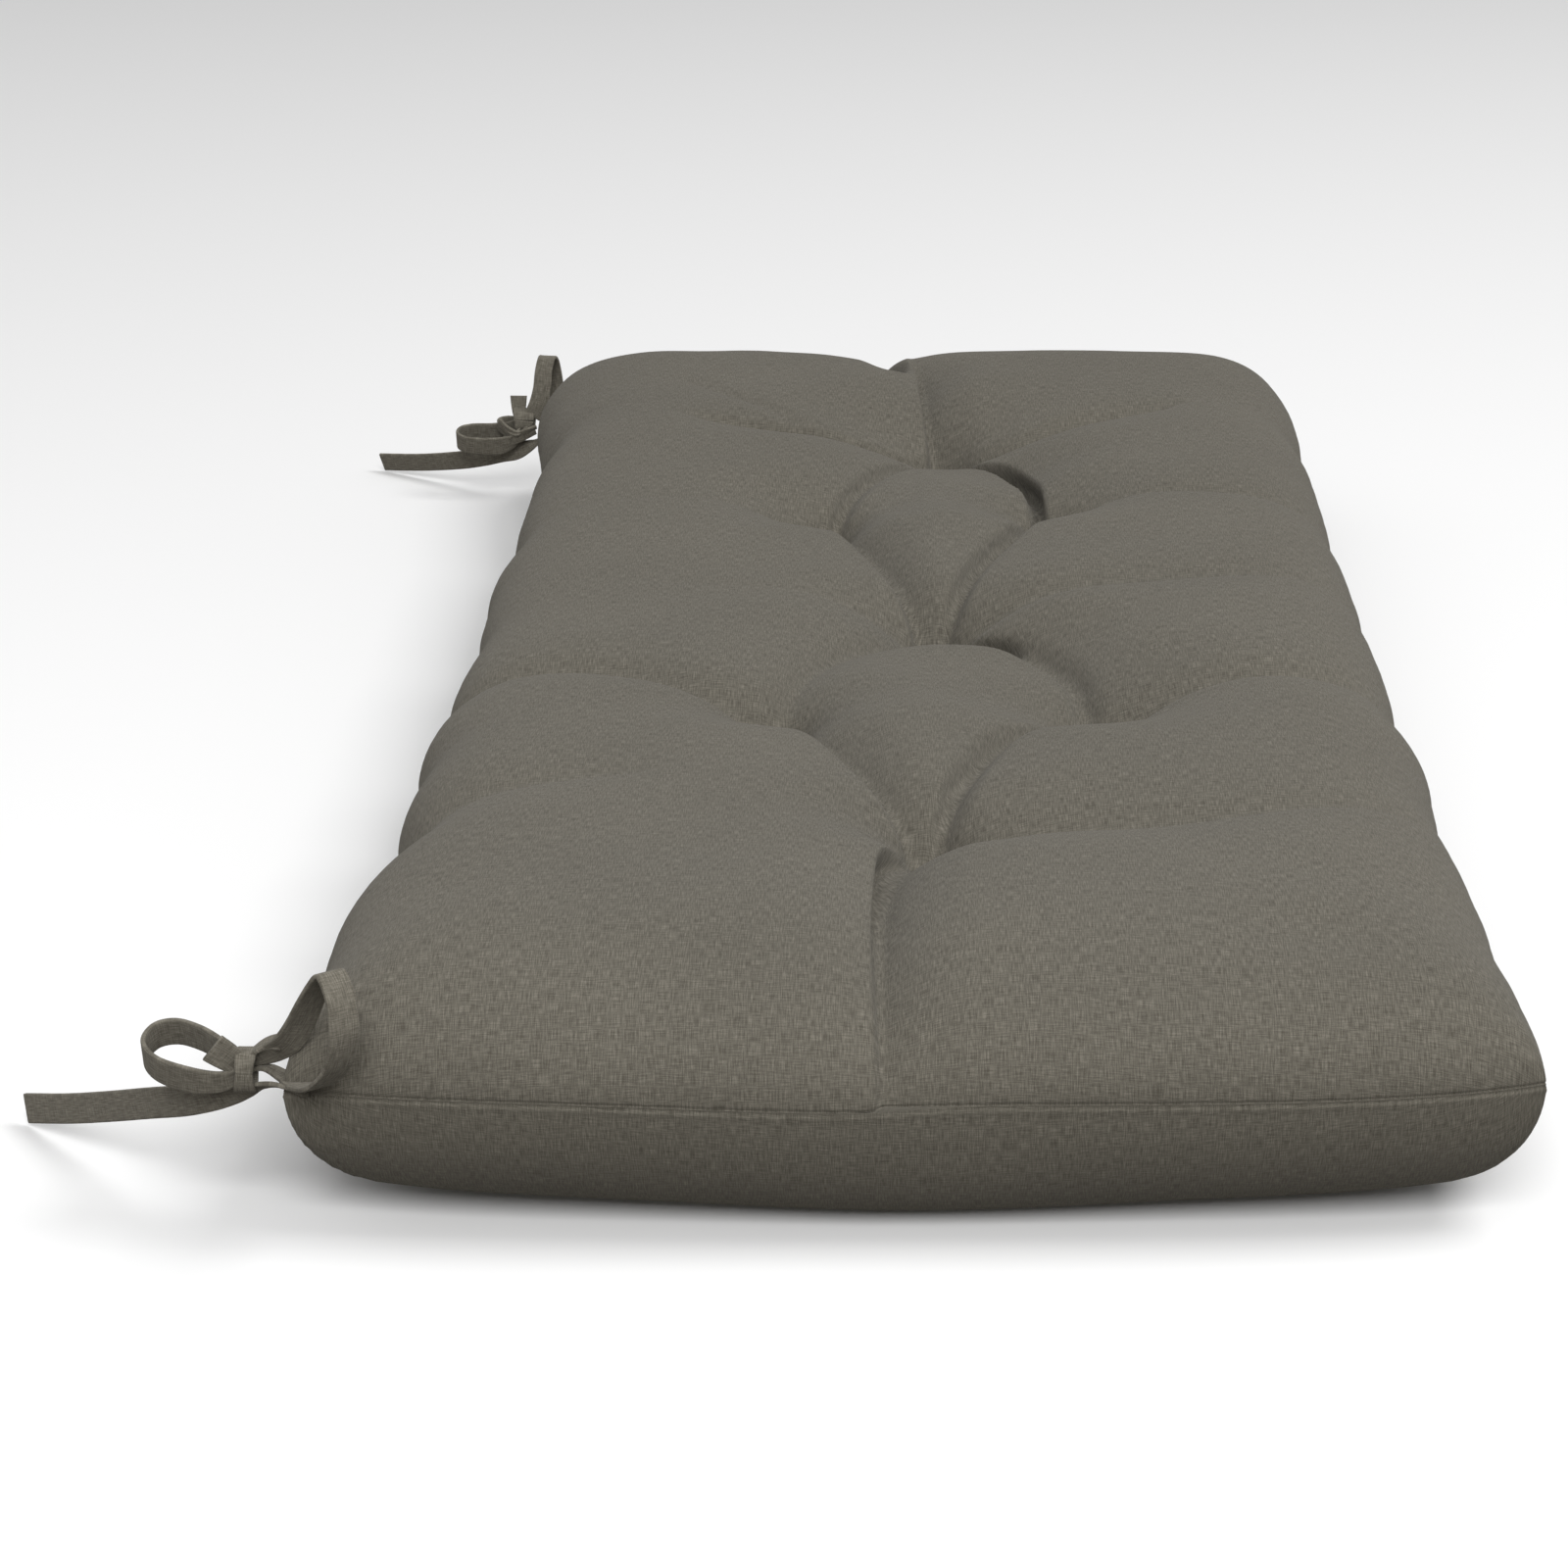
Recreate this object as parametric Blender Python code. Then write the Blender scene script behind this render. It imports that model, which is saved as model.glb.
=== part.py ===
"""Tufted bench cushion with a pair of knotted fabric ties at each back corner.

Metres, +Z up. The origin is the middle of the flat underside. +X runs from the back edge, which
carries the ties, to the front edge, and +Y runs along the length of the bench.
"""
from collections import namedtuple
from math import radians

import bmesh
import bpy
import numpy as np
from mathutils import Matrix, Vector

MM = 0.001

# Driving dimensions of the cushion
LENGTH = 1.143
WIDTH = 0.457
SEAM_HEIGHT = 0.055
NEAR_SEAM_LIFT = 0.002
CROWN_HEIGHT = 0.106
SIDE_ROLL = 0.095
END_ROLL = 0.105
ROLL_FULLNESS = 2.5
TOP_CORNER_FULLNESS = 1.5
UNDER_ROLL_SIDE = 0.058
UNDER_ROLL_END = 0.060
UNDER_ROLL_MIDDLE = 0.040
UNDER_CORNER_PULL = 0.013
GAP = 0.0003

# How finely the solid is divided
CELLS_ACROSS = 46
CELLS_ALONG = 92
CROWDING_ACROSS = 0.42
CROWDING_ALONG = 0.35
UNDER_STEPS = (0.10, 0.30, 0.52, 0.76, 1.0)
CREASE_STEPS = 8

HALF_WIDTH = WIDTH / 2
HALF_LENGTH = LENGTH / 2

# How far each corner of the plan is rounded in
NEAR_LEFT_PULL = 0.004
NEAR_RIGHT_PULL = 0.003
FAR_LEFT_PULL = 0.007
FAR_RIGHT_PULL = 0.026

# The sides draw in between the corners, and more at the ends of the creases
BACK_BOW = 0.013
FRONT_BOW = 0.009
NEAR_END_SWELL = 0.010
FAR_END_DRAW = 0.004
Notch = namedtuple("Notch", "along depth reach")
BACK_NOTCHES = (
    Notch(0.500, -0.008, 0.10), Notch(0.355, 0.006, 0.05), Notch(0.150, 0.005, 0.05),
    Notch(0.090, -0.003, 0.05),
    Notch(-0.035, 0.004, 0.05), Notch(-0.150, 0.003, 0.03), Notch(-0.200, -0.003, 0.05),
    Notch(-0.240, 0.003, 0.03), Notch(-0.350, 0.012, 0.05), Notch(-0.430, -0.004, 0.07))
FRONT_NOTCHES = (
    Notch(0.376, 0.004, 0.05), Notch(0.165, 0.003, 0.05), Notch(0.0, 0.002, 0.04),
    Notch(-0.165, 0.004, 0.05), Notch(-0.225, -0.003, 0.05), Notch(-0.320, 0.003, 0.05),
    Notch(-0.470, 0.002, 0.04))

# Tufts in rows of one, two, one, two, one, with the depth and reach of the pit that each draws
Tuft = namedtuple("Tuft", "across along depth reach")
TUFTS = {
    "far": Tuft(0.010, 0.335, 0.034, 0.115),
    "far_back": Tuft(-0.050, 0.165, 0.026, 0.085),
    "far_front": Tuft(0.064, 0.172, 0.026, 0.085),
    "middle": Tuft(0.006, -0.022, 0.028, 0.085),
    "near_back": Tuft(-0.062, -0.195, 0.022, 0.085),
    "near_front": Tuft(0.078, -0.185, 0.031, 0.105),
    "near": Tuft(0.004, -0.362, 0.024, 0.080)}

# Folds run from a tuft through points of the plan, to another tuft or towards an edge. Depths are at
# the start, the middle and the end, and crisp is the share of them that is the narrow crease.
Fold = namedtuple("Fold", "start points depths crisp valley_reach")
FOLDS = (
    Fold("far", ((-0.022, 0.255), "far_back"), (0.026, 0.014, 0.024), 0.35, 0.055),
    Fold("far", ((0.050, 0.270), "far_front"), (0.028, 0.027, 0.026), 0.34, 0.055),
    Fold("far_back", ((-0.030, 0.100), (-0.012, 0.035), "middle"), (0.024, 0.018, 0.023), 0.35, 0.060),
    Fold("far_front", ((0.036, 0.080), (0.020, 0.020), "middle"), (0.024, 0.018, 0.023), 0.35, 0.060),
    Fold("middle", ((-0.032, -0.085), (-0.052, -0.140), "near_back"), (0.023, 0.014, 0.022), 0.25, 0.065),
    Fold("middle", ((0.045, -0.060), (0.068, -0.115), "near_front"), (0.028, 0.024, 0.026), 0.32, 0.060),
    Fold("near_back", ((-0.040, -0.245), (-0.019, -0.305), "near"), (0.023, 0.018, 0.022), 0.35, 0.065),
    Fold("near_front", ((0.040, -0.240), (0.020, -0.300), "near"), (0.025, 0.018, 0.023), 0.35, 0.065),
    Fold("far", ((0.005, 0.400), (0.002, 0.460), (-0.006, 0.520)), (0.024, 0.016, 0.003), 0.60, 0.040),
    Fold("far", ((-0.060, 0.344), (-0.170, 0.352)), (0.028, 0.006, 0.000), 0.30, 0.050),
    Fold("far", ((0.062, 0.352), (0.160, 0.385)), (0.030, 0.006, 0.000), 0.25, 0.050),
    Fold("far_back", ((-0.120, 0.158), (-0.220, 0.148)), (0.026, 0.001, 0.000), 0.20, 0.050),
    Fold("far_front", ((0.120, 0.170), (0.220, 0.165)), (0.026, 0.006, 0.002), 0.25, 0.050),
    Fold("middle", ((-0.080, -0.010), (-0.180, 0.000)), (0.018, 0.001, 0.000), 0.15, 0.055),
    Fold("middle", ((0.090, -0.012), (0.210, 0.005)), (0.026, 0.006, 0.000), 0.25, 0.050),
    Fold("near_back", ((-0.100, -0.170), (-0.150, -0.146), (-0.222, -0.146)), (0.024, 0.010, 0.005),
         0.30, 0.050),
    Fold("near_front", ((0.130, -0.170), (0.220, -0.165)), (0.030, 0.012, 0.000), 0.30, 0.055),
    Fold("near", ((0.060, -0.362), (0.110, -0.357), (0.220, -0.340)), (0.024, 0.011, 0.000), 0.20, 0.070),
    Fold("near", ((-0.006, -0.420), (-0.012, -0.480), (-0.011, -0.585)), (0.022, 0.014, 0.012), 0.45, 0.050))

# Folds that no tuft draws: each starts at a point of its own
LOOSE_FOLDS = (
    Fold((-0.014, 0.480), ((-0.024, 0.515), (-0.032, 0.545), (-0.042, 0.585)), (0.004, 0.024, 0.014),
         0.70, 0.040),
    Fold((-0.100, -0.325), ((-0.180, -0.335), (-0.222, -0.350)), (0.000, 0.006, 0.004), 0.10, 0.050))
CREASE_REACH = 0.026
CREASE_FLOOR = 0.0055
CREASE_STEEPNESS = 1.6
VALLEY_STEEPNESS = 2.0
FOLD_JOIN = 2.6

# Broad swells and hollows of the filling
Swell = namedtuple("Swell", "across along height across_reach along_reach")
SWELLS = (
    Swell(-0.080, -0.030, -0.009, 0.200, 0.300), Swell(0.150, -0.520, -0.003, 0.030, 0.020),
    Swell(-0.040, 0.530, -0.003, 0.040, 0.045), Swell(0.004, 0.240, -0.009, 0.050, 0.070),
    Swell(0.028, -0.105, -0.014, 0.056, 0.070), Swell(0.050, -0.375, -0.005, 0.060, 0.050))

# The ties are tapes on edge, gathered at their knots. A route gives the middle of the tape in
# millimetres, and the heading (from +Y towards +X) and pitch of the way its width points.
TAPE_THICKNESS = 1.8 * MM
TAPE_CLEARANCE = 0.4 * MM
TAPE_STEP = 3.2 * MM
KNOT_ROUNDING = 2.6 * MM
Stop = namedtuple("Stop", "x y z heading pitch width")
Knot = namedtuple("Knot", "centre size turn")

NEAR_RING = (
    Stop(-237.0, -558.0, 60.0, 51, 0, 4), Stop(-231.0, -558.8, 61.2, 51, 0, 4.5),
    Stop(-224.8, -562.1, 60.6, 51, 0, 7), Stop(-219.0, -567.6, 59.8, 51, 0, 10),
    Stop(-211.9, -576.2, 62.0, 51, 0, 12), Stop(-206.5, -583.1, 67.0, 51, 0, 12),
    Stop(-201.2, -589.7, 75.0, 51, 0, 12), Stop(-198.1, -593.6, 85.0, 51, 0, 12),
    Stop(-197.5, -594.4, 93.0, 51, 0, 12), Stop(-198.3, -593.3, 101.0, 51, 0, 12),
    Stop(-200.6, -590.5, 107.0, 51, 0, 12), Stop(-202.9, -587.6, 109.0, 51, 0, 12),
    Stop(-206.2, -583.5, 104.5, 51, 0, 12), Stop(-211.1, -577.2, 95.5, 51, -5, 12),
    Stop(-216.6, -571.4, 84.0, 51, -22, 12), Stop(-221.8, -567.2, 75.4, 51, -40, 11.5),
    Stop(-227.2, -562.6, 70.4, 51, -50, 10), Stop(-232.5, -559.0, 67.0, 51, -58, 8),
    Stop(-237.5, -557.8, 65.2, 51, -62, 6))
NEAR_LOOP = (
    Stop(-238.5, -557.5, 61.5, 180, 74, 8), Stop(-243.5, -553.8, 63.0, 180, 73, 10),
    Stop(-249.5, -548.5, 65.8, 180, 72, 12), Stop(-258.0, -541.5, 67.5, 180, 72, 12),
    Stop(-267.0, -536.8, 68.0, 180, 72, 12), Stop(-274.5, -538.5, 66.8, 180, 72, 12),
    Stop(-277.3, -546.0, 63.5, 180, 72, 12), Stop(-271.0, -555.5, 60.8, 180, 72, 12),
    Stop(-258.0, -561.5, 58.8, 180, 72, 12), Stop(-247.5, -562.3, 58.5, 180, 75, 9),
    Stop(-240.5, -559.5, 60.0, 180, 80, 7))
NEAR_TAIL = (
    Stop(-215.5, -570.5, 56.8, 0, 165, 7), Stop(-221.0, -568.0, 58.0, 0, 160, 7),
    Stop(-227.5, -564.0, 58.0, 0, 155, 6.5), Stop(-233.5, -560.6, 56.4, 0, 148, 7),
    Stop(-239.0, -558.0, 53.6, 0, 136, 9), Stop(-245.5, -554.5, 51.2, 0, 118, 11),
    Stop(-254.5, -549.0, 47.6, 0, 98, 12), Stop(-266.0, -539.5, 42.0, 0, 90, 12),
    Stop(-281.0, -524.0, 34.8, 0, 90, 12), Stop(-300.0, -503.0, 25.0, 0, 90, 12),
    Stop(-320.0, -482.5, 15.8, 0, 88, 12), Stop(-341.0, -461.0, 7.2, 0, 86, 12))
NEAR_END = (
    Stop(-240.6, -560.0, 63.2, 90, 60, 8), Stop(-244.6, -562.4, 68.0, 90, 55, 11),
    Stop(-249.4, -563.6, 72.0, 90, 52, 12))
NEAR_KNOT = Knot((-238.9, -559.0, 61.6), (8.2, 10.2, 14.6), -4)

FAR_RING = (
    Stop(-223.0, 568.0, 57.5, 100, 0, 9), Stop(-226.5, 571.0, 67.0, 100, 0, 11),
    Stop(-227.8, 568.5, 79.0, 100, 0, 11), Stop(-229.0, 564.0, 87.5, 100, 0, 11),
    Stop(-230.6, 560.0, 88.8, 100, 0, 11), Stop(-232.6, 557.5, 81.0, 100, 0, 11),
    Stop(-233.8, 556.5, 70.0, 100, 0, 11.5), Stop(-236.4, 556.8, 60.0, 98, 0, 12),
    Stop(-240.5, 558.5, 52.5, 94, 0, 11))
FAR_LOOP = (
    Stop(-245.0, 563.5, 48.5, 180, 72, 8), Stop(-254.0, 568.0, 42.7, 180, 72, 11),
    Stop(-266.0, 571.0, 39.8, 180, 72, 13), Stop(-278.0, 572.0, 39.4, 180, 72, 13),
    Stop(-285.5, 570.0, 38.8, 180, 72, 12), Stop(-287.5, 564.5, 36.6, 180, 72, 12),
    Stop(-282.0, 559.0, 34.8, 180, 72, 12), Stop(-271.0, 556.5, 34.2, 180, 72, 12),
    Stop(-260.0, 556.0, 34.8, 180, 72, 12), Stop(-251.5, 557.0, 38.5, 180, 65, 9),
    Stop(-246.5, 560.0, 45.0, 180, 60, 8))
FAR_END = (
    Stop(-248.5, 562.0, 50.5, 110, 0, 8), Stop(-249.0, 562.5, 57.0, 115, -8, 10),
    Stop(-249.0, 564.0, 64.5, 120, -12, 12))
FAR_FOLD = (
    Stop(-243.0, 558.5, 46.0, 180, 30, 6), Stop(-250.0, 555.5, 40.5, 180, 40, 7),
    Stop(-258.0, 559.5, 43.0, 180, 60, 7), Stop(-262.0, 565.0, 46.5, 180, 75, 7),
    Stop(-257.0, 569.0, 47.5, 180, 75, 7), Stop(-248.5, 566.0, 48.0, 180, 75, 6))
FAR_TAIL = (
    Stop(-221.5, 564.0, 55.5, 0, 0, 7), Stop(-229.0, 562.5, 45.0, 0, 20, 5),
    Stop(-236.5, 562.0, 37.0, 0, 40, 4), Stop(-243.5, 562.8, 33.0, 0, 70, 8),
    Stop(-252.0, 566.0, 29.5, 0, 88, 12), Stop(-262.0, 571.5, 26.5, 0, 92, 12),
    Stop(-274.0, 579.5, 22.2, 0, 98, 12), Stop(-290.0, 591.0, 17.4, 0, 105, 12),
    Stop(-316.0, 611.0, 11.4, 0, 110, 12), Stop(-344.0, 633.0, 6.6, 0, 110, 12))
FAR_KNOT = Knot((-245.6, 561.6, 50.2), (13.0, 11.0, 13.4), 0)


def clear_scene():
    for thing in list(bpy.data.objects):
        bpy.data.objects.remove(thing)


def fabric(name, colour, roughness):
    material = bpy.data.materials.new(name)
    material.use_nodes = True
    shader = material.node_tree.nodes["Principled BSDF"]
    shader.inputs["Base Color"].default_value = (*colour, 1.0)
    shader.inputs["Roughness"].default_value = roughness
    shader.inputs["Metallic"].default_value = 0.0
    return material


# ---- the cushion's form: u runs across and v along, each from -1 to 1 ----

def corner_pull(u, v):
    left, right = (1 - u) / 2, (1 + u) / 2
    near, far = (1 - v) / 2, (1 + v) / 2
    return (left * near * NEAR_LEFT_PULL + right * near * NEAR_RIGHT_PULL
            + left * far * FAR_LEFT_PULL + right * far * FAR_RIGHT_PULL)


def side_draw(y, bow, notches):
    """How far a side edge is drawn in: a long bow, and a dip at each notch."""
    drawn = bow * (1 - np.clip(np.abs(y / HALF_LENGTH), 0, 1) ** 3)
    for notch in notches:
        drawn = drawn + notch.depth * np.exp(-((y - notch.along) * 1.6 / notch.reach) ** 2)
    return drawn


def plan(u, v):
    """The place of (u, v) seen from above: a rectangle, rounded at its corners and drawn in."""
    pull = corner_pull(u, v)
    x = HALF_WIDTH * u - np.sign(u) * pull * np.abs(u) ** 3 * np.abs(v) ** 16
    y = HALF_LENGTH * v - np.sign(v) * pull * np.abs(v) ** 6 * np.abs(u) ** 6.5
    drawn = np.where(u < 0, side_draw(y, BACK_BOW, BACK_NOTCHES), side_draw(y, FRONT_BOW, FRONT_NOTCHES))
    x = x - np.sign(u) * drawn * np.abs(u) ** 4
    bowed = 1 - np.abs(u) ** 3
    y = y - np.where(v < 0, NEAR_END_SWELL, -FAR_END_DRAW) * bowed * np.abs(v) ** 5
    return x, y


def seam_height(u, v):
    """The seam's height: higher at the near end, with a dip where the end's crease meets it."""
    dip = 0.002 * np.exp(-(u / 0.15) ** 2) * np.clip(-v, 0, 1) ** 8
    lift = 0.003 * np.clip(u, 0, 1) ** 6 * np.abs(v) ** 12 + NEAR_SEAM_LIFT * np.clip(-v, 0, 1) ** 10
    return SEAM_HEIGHT + lift - dip


def smooth_rows(rows, shares):
    """Values read from a smooth curve through the rows (Catmull-Rom), at shares of their count."""
    padded = np.vstack([2 * rows[0] - rows[1], rows, 2 * rows[-1] - rows[-2]])
    index = np.clip(shares.astype(int), 0, len(rows) - 2)
    t = (shares - index)[:, None]
    p0, p1, p2, p3 = (padded[index + step] for step in range(4))
    return 0.5 * (2 * p1 + (p2 - p0) * t + (2 * p0 - 5 * p1 + 4 * p2 - p3) * t ** 2
                  + (3 * p1 - 3 * p2 + p3 - p0) * t ** 3)


def nearest_on_path(x, y, path):
    """Distance from each point to a path in the plan, and how far along it that is (0 to 1)."""
    nearest = np.full(x.shape, np.inf)
    share = np.zeros_like(x)
    steps = len(path) - 1
    for index in range(steps):
        (ax, ay), (bx, by) = path[index], path[index + 1]
        dx, dy = bx - ax, by - ay
        t = np.clip(((x - ax) * dx + (y - ay) * dy) / (dx * dx + dy * dy), 0, 1)
        distance = np.hypot(x - ax - t * dx, y - ay - t * dy)
        closer = distance < nearest
        nearest = np.where(closer, distance, nearest)
        share = np.where(closer, (index + t) / steps, share)
    return nearest, share


def fold_path(fold):
    """A smooth line through the fold's points, in which a tuft's name stands for its place."""
    stops = (fold.start, *fold.points)
    places = np.array([TUFTS[stop][:2] if isinstance(stop, str) else stop for stop in stops])
    return smooth_rows(places, np.linspace(0, len(places) - 1, (len(places) - 1) * CREASE_STEPS + 1))


def domed(distance, reach, steepness):
    """A fold's section, 1 at its floor and 0 at its reach: steepest at the floor, so the cloth is domed."""
    return np.clip(1 - distance / reach, 0, 1) ** steepness


def fold_depth(x, y):
    """How far the top is drawn down: by narrow creases, and by broad valleys with the tufts' pits.

    Each of the two is a power mean, so that the deepest fold wins and neighbours meet smoothly.
    """
    narrow = np.zeros_like(x)
    broad = np.zeros_like(x)
    for fold in FOLDS + LOOSE_FOLDS:
        distance, t = nearest_on_path(x, y, fold_path(fold))
        start, middle, end = fold.depths
        depth = middle + (np.where(t < 0.5, start, end) - middle) * (2 * t - 1) ** 2
        rounded = np.sqrt(distance ** 2 + CREASE_FLOOR ** 2)
        crease = domed(rounded, CREASE_REACH, CREASE_STEEPNESS)
        valley = domed(distance, fold.valley_reach, VALLEY_STEEPNESS)
        narrow += (depth * fold.crisp * crease) ** FOLD_JOIN
        broad += (depth * (1 - fold.crisp) * valley) ** FOLD_JOIN
    for tuft in TUFTS.values():
        distance = np.hypot(x - tuft.across, y - tuft.along)
        broad += (tuft.depth * domed(distance, tuft.reach, VALLEY_STEEPNESS)) ** FOLD_JOIN
    return narrow ** (1 / FOLD_JOIN), broad ** (1 / FOLD_JOIN)


def round_both(side, end):
    """Joins two closenesses to an edge, each 0 inside and 1 at it, into one that rounds the corner."""
    side_odds = (side / np.maximum(1 - side, 1e-9)) ** TOP_CORNER_FULLNESS
    end_odds = (end / np.maximum(1 - end, 1e-9)) ** TOP_CORNER_FULLNESS
    odds = (side_odds + end_odds) ** (1 / TOP_CORNER_FULLNESS)
    return odds / (1 + odds)


def top_surface(u, v):
    """The top: it rolls up from the seam to the crown, less the folds and tufts."""
    x, y = plan(u, v)
    from_side = np.clip(1 - HALF_WIDTH * (1 - np.abs(u)) / SIDE_ROLL, 0, 1) ** ROLL_FULLNESS
    from_end = np.clip(1 - HALF_LENGTH * (1 - np.abs(v)) / END_ROLL, 0, 1) ** ROLL_FULLNESS
    rise = np.sqrt(np.clip(1 - round_both(from_side, from_end), 0, 1))
    crown = CROWN_HEIGHT
    for swell in SWELLS:
        crown = crown + swell.height * np.exp(-((x - swell.across) / swell.across_reach) ** 2
                                              - ((y - swell.along) / swell.along_reach) ** 2)
    seam = seam_height(u, v)
    narrow, broad = fold_depth(x, y)
    return x, y, seam + (crown - seam) * rise - broad * rise ** 0.8 - narrow * rise


def under_roll(u, v, turn):
    """The wall below the seam, a quarter round: turn runs from 0 at the seam to 1 underneath."""
    inset = 1 - np.cos(turn * np.pi / 2)
    middle = np.exp(-(u / 0.4) ** 2) * (v < 0)
    end_roll = UNDER_ROLL_END + (UNDER_ROLL_MIDDLE - UNDER_ROLL_END) * middle
    x, y = plan(u * (1 - inset * UNDER_ROLL_SIDE / HALF_WIDTH), v * (1 - inset * end_roll / HALF_LENGTH))
    corner = UNDER_CORNER_PULL * inset * np.abs(u * v) ** 5
    x = x - np.sign(u) * corner * np.abs(v) ** 12
    y = y - np.sign(v) * corner
    height = seam_height(u, v) * (1 - np.sin(turn * np.pi / 2)) if turn < 1 else np.zeros_like(x)
    return x, y, height


def lines_across():
    """Grid lines from -1 to 1, closer together at both sides and in the middle, where the creases are."""
    even = np.linspace(-1, 1, CELLS_ACROSS + 1)
    return even - CROWDING_ACROSS * np.sin(2 * np.pi * even) / (2 * np.pi)


def lines_along():
    """Grid lines from -1 to 1, closer together at both ends."""
    even = np.linspace(-1, 1, CELLS_ALONG + 1)
    return (1 - CROWDING_ALONG) * even + CROWDING_ALONG * np.sin(even * np.pi / 2)


def cushion_mesh(name, grow):
    """The filled cushion as one closed mesh; grow moves its skin outwards, for a clearance cutter."""
    mesh = bmesh.new()
    bmesh.ops.create_grid(mesh, x_segments=CELLS_ACROSS, y_segments=CELLS_ALONG, size=1)
    lines_u, lines_v = lines_across(), lines_along()
    for vertex in mesh.verts:
        vertex.co.x = lines_u[round((vertex.co.x + 1) / 2 * CELLS_ACROSS)]
        vertex.co.y = lines_v[round((vertex.co.y + 1) / 2 * CELLS_ALONG)]
    flat = np.array([vertex.co for vertex in mesh.verts])
    seam_edges = [edge for edge in mesh.edges if edge.is_boundary]
    rim = {vertex: tuple(vertex.co[:2]) for edge in seam_edges for vertex in edge.verts}
    for vertex, place in zip(list(mesh.verts), np.stack(top_surface(flat[:, 0], flat[:, 1]), axis=1)):
        vertex.co = place
    edges = seam_edges
    for turn in UNDER_STEPS:
        ring = bmesh.ops.extrude_edge_only(mesh, edges=edges)["geom"]
        new_verts = [item for item in ring if isinstance(item, bmesh.types.BMVert)]
        edges = [item for item in ring if isinstance(item, bmesh.types.BMEdge) and item.is_boundary]
        rim = {vertex: follow(rim, vertex) for vertex in new_verts}
        u, v = np.array(list(rim.values())).T
        for vertex, place in zip(rim, np.stack(under_roll(u, v, turn), axis=1)):
            vertex.co = place
    bmesh.ops.triangulate(mesh, faces=mesh.faces)
    bmesh.ops.contextual_create(mesh, geom=edges)
    bmesh.ops.recalc_face_normals(mesh, faces=mesh.faces)
    if grow:
        mesh.normal_update()
        for vertex in mesh.verts:
            vertex.co = vertex.co + vertex.normal * grow
    return mesh_object(name, mesh)


def follow(rim, vertex):
    """The (u, v) of the rim vertex that a new, extruded vertex was drawn from."""
    for edge in vertex.link_edges:
        other = edge.other_vert(vertex)
        if other in rim:
            return rim[other]
    raise ValueError("an extruded vertex has no parent on the rim")


def mesh_object(name, mesh):
    data = bpy.data.meshes.new(name)
    mesh.to_mesh(data)
    mesh.free()
    thing = bpy.data.objects.new(name, data)
    bpy.context.scene.collection.objects.link(thing)
    return thing


# ---- the ties ----

def tape_sections(stops):
    """Places, width directions and widths at even steps along a tape's route."""
    heading = np.radians([stop.heading for stop in stops])
    pitch = np.radians([stop.pitch for stop in stops])
    places = np.array([stop[:3] for stop in stops]) * MM
    across = np.stack([np.cos(pitch) * np.sin(heading), np.cos(pitch) * np.cos(heading), np.sin(pitch)], 1)
    widths = np.array([[stop.width * MM] for stop in stops])
    rows = np.hstack([places, across, widths])
    fine = smooth_rows(rows, np.linspace(0, len(rows) - 1, 400))
    walked = np.concatenate([[0], np.cumsum(np.linalg.norm(np.diff(fine[:, :3], axis=0), axis=1))])
    count = max(4, round(walked[-1] / TAPE_STEP))
    evenly = np.linspace(0, walked[-1], count + 1)
    even = np.stack([np.interp(evenly, walked, column) for column in fine.T], axis=1)
    along = np.gradient(even[:, :3], axis=0)
    along /= np.linalg.norm(along, axis=1, keepdims=True)
    wide = even[:, 3:6] - along * np.sum(even[:, 3:6] * along, axis=1, keepdims=True)
    wide /= np.linalg.norm(wide, axis=1, keepdims=True)
    return even[:, :3], wide, np.cross(along, wide), even[:, 6:7]


def tape(name, stops, grow=0.0):
    """A flat tape swept along its route, with a rectangular section and closed ends."""
    places, wide, thick, widths = tape_sections(stops)
    half_width = wide * (widths / 2 + grow)
    half_thickness = thick * (TAPE_THICKNESS / 2 + grow)
    signs = ((1, 1), (-1, 1), (-1, -1), (1, -1))
    mesh = bmesh.new()
    sections = []
    for index, place in enumerate(places):
        corners = [place + a * half_width[index] + b * half_thickness[index] for a, b in signs]
        sections.append([mesh.verts.new(corner) for corner in corners])
    for first, second in zip(sections, sections[1:]):
        for side in range(4):
            after = (side + 1) % 4
            mesh.faces.new((first[side], first[after], second[after], second[side]))
    mesh.faces.new(sections[0])
    mesh.faces.new(reversed(sections[-1]))
    bmesh.ops.recalc_face_normals(mesh, faces=mesh.faces)
    return mesh_object(name, mesh)


def knot_lump(name, lump):
    """The tape wound round the crossing: a rounded block, turned about the vertical."""
    mesh = bmesh.new()
    bmesh.ops.create_cube(mesh, size=1)
    bmesh.ops.scale(mesh, vec=Vector(lump.size) * MM, verts=mesh.verts)
    bmesh.ops.bevel(mesh, geom=mesh.edges, offset=KNOT_ROUNDING, segments=2, profile=0.5, affect="EDGES")
    bmesh.ops.rotate(mesh, matrix=Matrix.Rotation(radians(lump.turn), 3, "Z"), verts=mesh.verts)
    bmesh.ops.translate(mesh, vec=Vector(lump.centre) * MM, verts=mesh.verts)
    return mesh_object(name, mesh)


def combine(target, other, operation):
    """Joins other to target, or cuts it from target, and keeps other as a hidden guide."""
    step = target.modifiers.new(f"{operation.lower()} {other.name}", "BOOLEAN")
    step.operation = operation
    step.solver = "EXACT"
    step.object = other
    other.hide_render = True
    other.display_type = "WIRE"


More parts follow.
